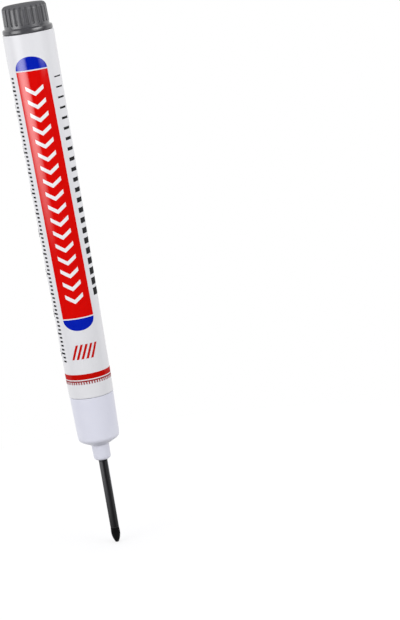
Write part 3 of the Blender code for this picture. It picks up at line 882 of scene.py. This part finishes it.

# Dark grey polypropylene from one mould with three finishes: the flange is polished and glints in the
# softboxes, and its colour is painted darker as shade, the fluted wall is satin, and the flat top is
# spark-eroded and dull
plug_plastic = moulded_plastic(
    "grey_polypropylene", "#525255", "#5d5d60", roughness=0.18, clouds=4.0, grain=0.25, relief=0.0012
)
tree = plug_plastic.node_tree
shader = tree.nodes["Principled BSDF"]
tint = shader.inputs["Base Color"].links[0].from_socket
gloss = shader.inputs["Roughness"].links[0].from_socket
place = add(tree, "TexCoord", {}).outputs["Object"]
height = add(tree, "SeparateXYZ", {"Vector": place}).outputs["Z"]
for low, high, rough in ((WALL_START, WALL_FULL, WALL_ROUGHNESS), (TOP_START, TOP_FULL, TOP_ROUGHNESS)):
    gloss = add(
        tree,
        "MapRange",
        {"Value": height, "From Min": low * MM, "From Max": high * MM, "To Min": gloss, "To Max": rough},
    ).outputs["Result"]
# below the wall the flange gets a darker colour: painted shade of its polished face
wall = add(tree, "MapRange", {"Value": height, "From Min": WALL_START * MM, "From Max": WALL_FULL * MM})
mixed = {SHARE: wall.outputs["Result"], DEEP: linear("#49494c"), PALE: tint}
tint = add(tree, "Mix", mixed, data_type="RGBA").outputs[MIXED]
finish = {
    "Base Color": tint,
    "Roughness": gloss,
    "IOR": 1.75,  # above plain polypropylene, as the strong glints ask
}
set_inputs(tree, shader, finish)
dress(plug, "tail_plug", plug_plastic, node="tail_plug", smooth=FLUTE_SMOOTH_ANGLE)

# %% [markdown]
# ## The seal ring
# A rubber ring under the flange keeps the ink from drying out. A moulded ring has a fine flash line round
# its outer and inner side, where the two halves of its mould met, so the points there are drawn out a
# little.

# %% Mould the seal ring
SEAL_LOW, SEAL_HIGH, SEAL_OUTER_RADIUS = reach("tail_seal_ring")
SEAL_CORD_RADIUS = (SEAL_HIGH - SEAL_LOW) / 2
SEAL_RADIUS = SEAL_OUTER_RADIUS - SEAL_CORD_RADIUS
SEAL_MIDDLE = (SEAL_HIGH + SEAL_LOW) / 2
SEAL_SIDES, SEAL_CORD_SIDES = 96, 24
FLASH = 0.012  # how far the flash line stands out

bpy.ops.mesh.primitive_torus_add(
    major_radius=SEAL_RADIUS * MM,
    minor_radius=(SEAL_CORD_RADIUS - FLASH) * MM,
    major_segments=SEAL_SIDES,
    minor_segments=SEAL_CORD_SIDES,
    location=(0, 0, SEAL_MIDDLE * MM),
)
seal = bpy.context.object
seal.name = "rubber_seal_ring"
apply_place()
for vertex in seal.data.vertices:
    point = vertex.co / MM
    if abs(point.z - SEAL_MIDDLE) < WELD:
        outwards = FLASH if point.xy.length > SEAL_RADIUS else -FLASH
        vertex.co.x *= 1 + outwards / point.xy.length
        vertex.co.y *= 1 + outwards / point.xy.length
print(f"seal ring of {2 * SEAL_OUTER_RADIUS:.1f} mm")

# %% Give the seal ring its rubber
BLOOM_SIZE, BLOOM_RELIEF = 0.8, 0.01

# Nitrile rubber: dull black, with a bloom that makes it paler in patches
rubber, tree, shader = new_material("nitrile_rubber")
bloom = noise(tree, BLOOM_SIZE, detail=4.0)
tint = add(tree, "Mix", {SHARE: bloom, DEEP: linear("#141414"), PALE: linear("#262626")}, data_type="RGBA")
gloss = add(tree, "MapRange", {"Value": bloom, "To Min": 0.5, "To Max": 0.75})
bump = add(tree, "Bump", {"Height": bloom, "Strength": 0.3, "Distance": BLOOM_RELIEF * MM})
finish = {
    "Base Color": tint.outputs[MIXED],
    "Roughness": gloss.outputs["Result"],
    "Normal": bump.outputs["Normal"],
}
set_inputs(tree, shader, finish)
dress(seal, "tail_seal", rubber, node="tail_seal_ring")

# %% [markdown]
# ## What lies inside
# The ink is held by a fibre rod in a thin film, and a bush keeps the sleeve in its seat. Nobody sees them
# in a closed pen, and their CAD shapes are right, so they stay and only get their materials.

# %% Dress the inner pieces
WRINKLE_WIDTH, WRINKLE_LENGTH, WRINKLE_RELIEF = 0.8, 20, 0.05

# Acetate fibre soaked with ink: coarser than the nib, and quite dull
reservoir_fibre = inked_fibre(
    "inked_acetate_fibre", "#0c0c10", "#24242a", fibre_width=0.15, fibre_length=6.0, roughness=0.85
)

# Clear wrap film: thin and glossy, with fine lengthwise wrinkles that bend its highlights
film, tree, shader = new_material("clear_wrap_film")
wrinkles = noise(tree, WRINKLE_WIDTH, WRINKLE_LENGTH)
mixed = {SHARE: wrinkles, DEEP: linear("#c2c8cc"), PALE: linear("#dde2e5")}
tint = add(tree, "Mix", mixed, data_type="RGBA")
bump = add(tree, "Bump", {"Height": wrinkles, "Strength": 0.4, "Distance": WRINKLE_RELIEF * MM})
finish = {
    "Base Color": tint.outputs[MIXED],
    "Roughness": 0.15,
    "Normal": bump.outputs["Normal"],
    "IOR": 1.5,
}
set_inputs(tree, shader, finish)

inner_finishes = {
    "reservoir_core": reservoir_fibre,
    "reservoir_film": film,
    "nib_retainer": retainer_plastic,
}
for name, material in inner_finishes.items():
    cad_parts[name].data.materials.clear()
    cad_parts[name].data.materials.append(material)
    print(name, "is now", material.name)

# %% [markdown]
# ## Printing ink
# The barrel is screen-printed. Such ink is a film about two hundredths of a millimetre thick, which is a
# little uneven where the mesh of the screen pressed it through. The inks of the panel lie under a clear
# varnish and shine. The smaller print around it is bare ink, which dries dull. All of it could be painted
# into the material of the barrel, but real films of ink stay sharp however near the camera comes. So each
# colour is drawn flat, like the artwork for the screen, given its thickness, cut into narrow strips, and
# wrapped round the barrel.

# %% The recipe for printing ink
INK_MOTTLE = 1.2
SCREEN_MESH = 0.18  # drawn about twice as coarse as a real screen, so that it shows
SCREEN_RELIEF = 0.001
VARNISHED, BARE = 1.0, 0.15  # how much an ink shines
VARNISH_SHARE = 0.78
VARNISH_IOR = 2.0  # above a real varnish, because the ink under it has no mirror of its own here


def printing_ink(name, deep, pale, shine):
    """Ink between two hex values, with the faint pattern of the screen and that share of the varnish."""
    material, tree, shader = new_material(name)
    mottle = noise(tree, INK_MOTTLE, detail=3.0)
    mesh = noise(tree, SCREEN_MESH, detail=1.0)
    tint = add(tree, "Mix", {SHARE: mottle, DEEP: linear(deep), PALE: linear(pale)}, data_type="RGBA")
    gloss = add(tree, "MapRange", {"Value": mesh, "To Min": 0.06, "To Max": 0.13})
    bump = add(tree, "Bump", {"Height": mesh, "Strength": 0.3, "Distance": SCREEN_RELIEF * MM})
    finish = {
        "Base Color": tint.outputs[MIXED],
        "Roughness": gloss.outputs["Result"],
        "Normal": bump.outputs["Normal"],
        "IOR": 1.54,
        "Specular IOR Level": 0.0,
        "Coat Weight": VARNISH_SHARE * shine,
        "Coat Roughness": 0.06,
        "Coat IOR": VARNISH_IOR,
    }
    set_inputs(tree, shader, finish)
    return material


# Varnished inks of the panel: deep colours with a sharp mirror image of the softboxes over them
red_ink = printing_ink("red_screen_ink", "#d80300", "#e20601", VARNISHED)
blue_ink = printing_ink("blue_screen_ink", "#001aaa", "#0322b8", VARNISHED)
white_ink = printing_ink("white_screen_ink", "#eeeef0", "#f6f6f7", VARNISHED)
# Bare inks of the small print: dull, so that no softbox makes them pale
bare_red_ink = printing_ink("bare_red_screen_ink", "#b90a04", "#c31008", BARE)
black_ink = printing_ink("black_screen_ink", "#101113", "#1a1b1e", BARE)
dark_red_ink = printing_ink("dark_red_screen_ink", "#8e1214", "#9e1a1a", BARE)
print("varnished inks:", red_ink.name, blue_ink.name, white_ink.name)
print("bare inks:", bare_red_ink.name, black_ink.name, dark_red_ink.name)

# %% [markdown]
# ## Wrapping artwork round the barrel
# In the flat artwork, X runs round the barrel and Y runs up it. A wrapped point turns its X into an angle
# and its thickness into a radius. The print sits a little askew, as on many cheap pens: over the length
# of the panel it drifts round by some degrees. Strips of a third of a millimetre are narrow enough to
# look round.

# %% Draw flat artwork
def flat_rectangle(name, width, height, x=0.0, y=0.0):
    """A rectangle of artwork around a point."""
    bpy.ops.mesh.primitive_plane_add(size=MM, location=(x * MM, y * MM, 0))
    art = bpy.context.object
    art.name = name
    art.scale = (width, height, 1)
    apply_place()
    return art


def repeat(art, count, x=0.0, y=0.0):
    """Copies the artwork that many times in a row."""
    hold(art)
    row = art.modifiers.new("row", "ARRAY")
    row.count = count
    row.use_relative_offset = False
    row.use_constant_offset = True
    row.constant_offset_displace = (x * MM, y * MM, 0)
    bpy.ops.object.modifier_apply(modifier=row.name)


def join(arts):
    """Makes one object of several."""
    hold(arts[0])
    for art in arts:
        art.select_set(True)
    bpy.ops.object.join()
    return arts[0]


print("artwork is drawn flat, with", MM, "m for each millimetre")

# %% Wrap artwork round the barrel
PRINT_SKEW = -0.143  # degrees of drift for each millimetre of height
PRINT_MIDDLE = 89.0  # the height where the drift is as PRINT_TURN says
PRINT_TURN = -4.1
STRIP_WIDTH = 0.33
STRIP_HEIGHT = 8.0
INK_SINK = 0.008  # how far a film reaches into the barrel, so that no gap shows under it
INK_FILM = 0.020  # how far it stands out


def barrel_radius(height):
    """The radius of the barrel's outside at that height."""
    share = (height - BARREL_FRONT) / (BARREL_TAIL - BARREL_FRONT)
    return BARREL_FRONT_RADIUS + (BARREL_TAIL_RADIUS - BARREL_FRONT_RADIUS) * share


def wrap(art, lift=0.0, skewed=True):
    """Gives flat artwork the thickness of an ink film and wraps it round the barrel, raised by the lift."""
    hold(art)
    bpy.ops.object.mode_set(mode="EDIT")
    bpy.ops.mesh.select_all(action="SELECT")
    bpy.ops.mesh.remove_doubles(threshold=WELD * MM)
    bpy.ops.mesh.select_all(action="SELECT")
    bpy.ops.mesh.extrude_region_move(TRANSFORM_OT_translate={"value": (0, 0, MM)})
    corners = [vertex.co / MM for vertex in bmesh.from_edit_mesh(art.data).verts]
    for axis, step in ((0, STRIP_WIDTH), (1, STRIP_HEIGHT)):
        low = min(corner[axis] for corner in corners)
        high = max(corner[axis] for corner in corners)
        for cut in range(math.ceil(low / step), math.floor(high / step) + 1):
            middle = Vector((0, 0, 0))
            middle[axis] = cut * step * MM
            across = Vector((0, 0, 0))
            across[axis] = 1
            bpy.ops.mesh.select_all(action="SELECT")
            bpy.ops.mesh.bisect(plane_co=middle, plane_no=across)
    weld_and_face_out()
    bpy.ops.object.mode_set(mode="OBJECT")
    for vertex in art.data.vertices:
        around, height, outside = vertex.co / MM
        angle = around / barrel_radius(height)
        if skewed:
            angle += math.radians(PRINT_TURN + PRINT_SKEW * (height - PRINT_MIDDLE))
        radius = barrel_radius(height) + lift - INK_SINK + outside * (INK_FILM + INK_SINK)
        vertex.co = Vector((radius * math.sin(angle), -radius * math.cos(angle), height)) * MM
    hold(art)
    bpy.ops.object.mode_set(mode="EDIT")
    weld_and_face_out()
    bpy.ops.object.mode_set(mode="OBJECT")
    return art


print(f"at the middle of the print the barrel has a radius of {barrel_radius(PRINT_MIDDLE):.2f} mm")

# %% [markdown]
# ## The red panel
# A long red panel carries the front of the print, with a blue round cap at either end and a thin white
# line of bare barrel between them. The caps are half ellipses: a circle is scaled, and a bisect clears
# one half.

# %% Print the panel and its caps
PANEL_WIDTH = 8.13
PANEL_LOW = 58.7
PANEL_HIGH = 119.4
BARE_LINE = 0.3
TAIL_CAP_HEIGHT = 3.15
NIB_CAP_HEIGHT = 2.9
CAP_POINTS = 64


def half_ellipse(name, height, y, upwards):
    """A cap as wide as the panel, with its flat side at that height."""
    bpy.ops.mesh.primitive_circle_add(
        vertices=CAP_POINTS, radius=MM, fill_type="NGON", location=(0, y * MM, 0)
    )
    cap = bpy.context.object
    cap.name = name
    cap.scale = (PANEL_WIDTH / 2, height, 1)
    apply_place()
    bpy.ops.object.mode_set(mode="EDIT")
    bpy.ops.mesh.select_all(action="SELECT")
    side = 1 if upwards else -1
    bpy.ops.mesh.bisect(plane_co=(0, y * MM, 0), plane_no=(0, side, 0), clear_inner=True)
    bpy.ops.object.mode_set(mode="OBJECT")
    return cap


panel = flat_rectangle(
    "print_red_panel", PANEL_WIDTH, PANEL_HIGH - PANEL_LOW, y=(PANEL_LOW + PANEL_HIGH) / 2
)
dress(wrap(panel), "barrel", red_ink)
tail_cap = half_ellipse("print_blue_caps", TAIL_CAP_HEIGHT, PANEL_HIGH + BARE_LINE, True)
nib_cap = half_ellipse("nib_cap", NIB_CAP_HEIGHT, PANEL_LOW - BARE_LINE, False)
dress(wrap(join([tail_cap, nib_cap])), "barrel", blue_ink)

# %% [markdown]
# ## White chevrons
# A row of white chevrons on the panel points to the nib. One chevron is a bar that is cut in the middle
# and drawn down there, and an Array modifier repeats it. White is printed over red, so it lies one film
# higher.

# %% Print the chevrons
CHEVRON_WIDTH = 4.4
CHEVRON_STROKE = 1.0
CHEVRON_DROP = 1.5
CHEVRON_PITCH = 3.2
CHEVRON_COUNT = 17

first_height = (PANEL_LOW + PANEL_HIGH + CHEVRON_DROP - (CHEVRON_COUNT - 1) * CHEVRON_PITCH) / 2
chevrons = flat_rectangle("print_white_chevrons", CHEVRON_WIDTH, CHEVRON_STROKE, y=first_height)
bpy.ops.object.mode_set(mode="EDIT")
bpy.ops.mesh.select_all(action="SELECT")
bpy.ops.mesh.bisect(plane_co=(0, 0, 0), plane_no=(1, 0, 0))
choose("verts", lambda points: abs(points[0].x) < WELD)
bpy.ops.transform.translate(value=(0, -CHEVRON_DROP * MM, 0))
bpy.ops.object.mode_set(mode="OBJECT")
repeat(chevrons, CHEVRON_COUNT, y=CHEVRON_PITCH)
dress(wrap(chevrons, lift=INK_FILM), "barrel", white_ink)

# %% [markdown]
# ## A band of hatching
# Under the panel lies a short band of slanting red bars, a common pattern on tools. One bar is a
# rectangle whose upper edge is moved sideways.

# %% Print the hatching
HATCH_MIDDLE = 50.2
HATCH_HEIGHT = 3.6
HATCH_STROKE = 0.62
HATCH_SLANT = 1.6
HATCH_PITCH = 1.2
HATCH_COUNT = 5

first_bar = -((HATCH_COUNT - 1) * HATCH_PITCH + HATCH_SLANT) / 2
hatch = flat_rectangle("print_red_hatching", HATCH_STROKE, HATCH_HEIGHT, x=first_bar, y=HATCH_MIDDLE)
bpy.ops.object.mode_set(mode="EDIT")
choose("verts", lambda points: points[0].y > HATCH_MIDDLE)
bpy.ops.transform.translate(value=(HATCH_SLANT * MM, 0, 0))
bpy.ops.object.mode_set(mode="OBJECT")
repeat(hatch, HATCH_COUNT, x=HATCH_PITCH)
dress(wrap(hatch), "barrel", bare_red_ink)

# %% [markdown]
# ## The rings near the collar
# A red ring goes round the barrel near its front, and a thin darker one with fine teeth lies under it.
# The rings are turned like the other round pieces. The teeth are artwork again: one tooth, repeated once
# round the barrel.

# %% Print the rings
RING_LOW, RING_HIGH = 43.30, 44.63
LINE_LOW, LINE_HIGH = 42.70, 43.02
TOOTH_WIDTH = 0.3
TOOTH_LENGTH = 0.62
TOOTH_GAP = 0.01
TOOTH_COUNT = 52


def ink_ring(name, low, high):
    """A film of ink all round the barrel between two heights."""
    rings = [
        (barrel_radius(low) + INK_FILM, low),
        (barrel_radius(high) + INK_FILM, high),
        (barrel_radius(high) - INK_SINK, high),
        (barrel_radius(low) - INK_SINK, low),
    ]
    return turn_piece(name, rings, closed=True)


dress(ink_ring("print_red_ring", RING_LOW, RING_HIGH), "barrel", bare_red_ink)
dress(ink_ring("print_dark_ring", LINE_LOW, LINE_HIGH), "barrel", dark_red_ink)
tooth_middle = LINE_LOW - TOOTH_LENGTH / 2 - TOOTH_GAP
teeth = flat_rectangle("print_dark_teeth", TOOTH_WIDTH, TOOTH_LENGTH, y=tooth_middle)
repeat(teeth, TOOTH_COUNT, x=2 * math.pi * barrel_radius(LINE_LOW) / TOOTH_COUNT)
dress(wrap(teeth, skewed=False), "barrel", dark_red_ink)

# %% [markdown]
# ## A depth scale
# A pen for deep holes can show how deep it goes. On the left of the panel stands a black scale in
# millimetres from the writing point: a tick for each millimetre, a longer one for each five, and a number
# for each ten. Numbers start as text, which is made a mesh before it is turned and placed.

# %% Print the depth scale
SCALE_LOW, SCALE_HIGH = 48, 118
SCALE_EDGE = -5.55
TICK_STROKE = 0.45
TICK_LENGTH = 1.2
LONG_TICK_LENGTH = 1.9
LONG_TICK_STEP = 5
NUMBER_STEP = 10
NUMBER_SIZE = 2.2
NUMBER_BASE = -7.95
NUMBER_CURVE_STEPS = 4

tick_middle = SCALE_EDGE - TICK_LENGTH / 2
ticks = flat_rectangle("print_black_scale", TICK_LENGTH, TICK_STROKE, x=tick_middle, y=SCALE_LOW)
repeat(ticks, SCALE_HIGH - SCALE_LOW + 1, y=1)
first_long = math.ceil(SCALE_LOW / LONG_TICK_STEP) * LONG_TICK_STEP
long_middle = SCALE_EDGE - (LONG_TICK_LENGTH + TICK_LENGTH) / 2
long_ticks = flat_rectangle(
    "long_ticks", LONG_TICK_LENGTH - TICK_LENGTH, TICK_STROKE, x=long_middle, y=first_long
)
repeat(long_ticks, (SCALE_HIGH - first_long) // LONG_TICK_STEP + 1, y=LONG_TICK_STEP)
marks = [ticks, long_ticks]
for height in range(math.ceil(SCALE_LOW / NUMBER_STEP) * NUMBER_STEP, SCALE_HIGH + 1, NUMBER_STEP):
    bpy.ops.object.text_add()
    number = bpy.context.object
    number.data.body = str(height)
    number.data.size = NUMBER_SIZE * MM
    number.data.align_x = "CENTER"
    number.data.resolution_u = NUMBER_CURVE_STEPS
    bpy.ops.object.convert(target="MESH")
    number = bpy.context.object
    number.rotation_euler.z = math.pi / 2
    number.location = (NUMBER_BASE * MM, height * MM, 0)
    apply_place()
    marks.append(number)
dress(wrap(join(marks)), "barrel", black_ink)

# %% [markdown]
# ## A gauge of line widths
# On the right of the panel a row of black bars grows from a fine line to a broad one, as a sample of
# strokes.

# %% Print the line gauge
GAUGE_LOW, GAUGE_HIGH = 64, 117
GAUGE_EDGE = 5.65
GAUGE_LENGTH = 2.6
GAUGE_THIN, GAUGE_THICK = 0.3, 1.8
GAUGE_BARS = 22

bars = []
gauge_middle = GAUGE_EDGE + GAUGE_LENGTH / 2
step = (GAUGE_HIGH - GAUGE_LOW) / (GAUGE_BARS - 1)
for place in range(GAUGE_BARS):
    stroke = GAUGE_THICK + (GAUGE_THIN - GAUGE_THICK) * place / (GAUGE_BARS - 1)
    height = GAUGE_LOW + place * step
    bars.append(flat_rectangle("print_black_gauge", GAUGE_LENGTH, stroke, x=gauge_middle, y=height))
dress(wrap(join(bars)), "barrel", black_ink)
